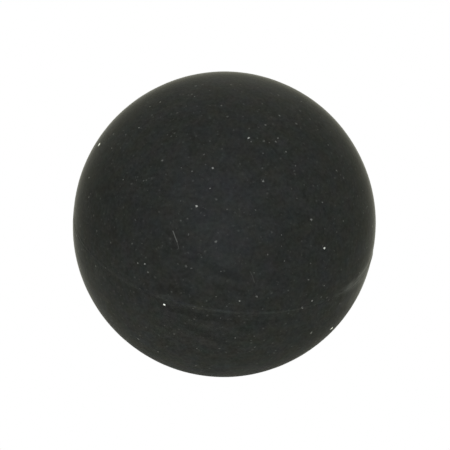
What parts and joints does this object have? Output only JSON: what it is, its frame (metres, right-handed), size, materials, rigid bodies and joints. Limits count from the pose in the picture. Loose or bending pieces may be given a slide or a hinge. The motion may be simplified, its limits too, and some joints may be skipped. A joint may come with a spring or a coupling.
{
  "type": "case opening friction ball",
  "caption": "Hollow inflated ball of soft black rubber, pressed on a screwed watch case back and turned by hand to open or close it.",
  "frame": {"origin": "the ball's centre, in the middle of the seam plane", "axes": "+Z is the pole axis, square to the seam plane, and the valve is at the lower pole, on -Z; the ball is the same all round +Z, apart from the plug's slit, whose long side runs along X"},
  "size_m": [0.0652, 0.0652, 0.0657],
  "materials": {
    "shell_rubber": "matte, moulded, dusty",
    "seam_cement": "matte, cured cement",
    "valve_rubber": "satin",
    "valve_cement": "satin, cured cement",
    "plug_rubber": "satin, soft"
  },
  "bodies": {
    "root": {"upper_half_shell": "shell_rubber", "lower_half_shell": "shell_rubber", "seam_cement": "seam_cement", "valve_housing": "valve_rubber", "valve_cement": "valve_cement", "valve_plug": "plug_rubber"}
  },
  "joints": []
}
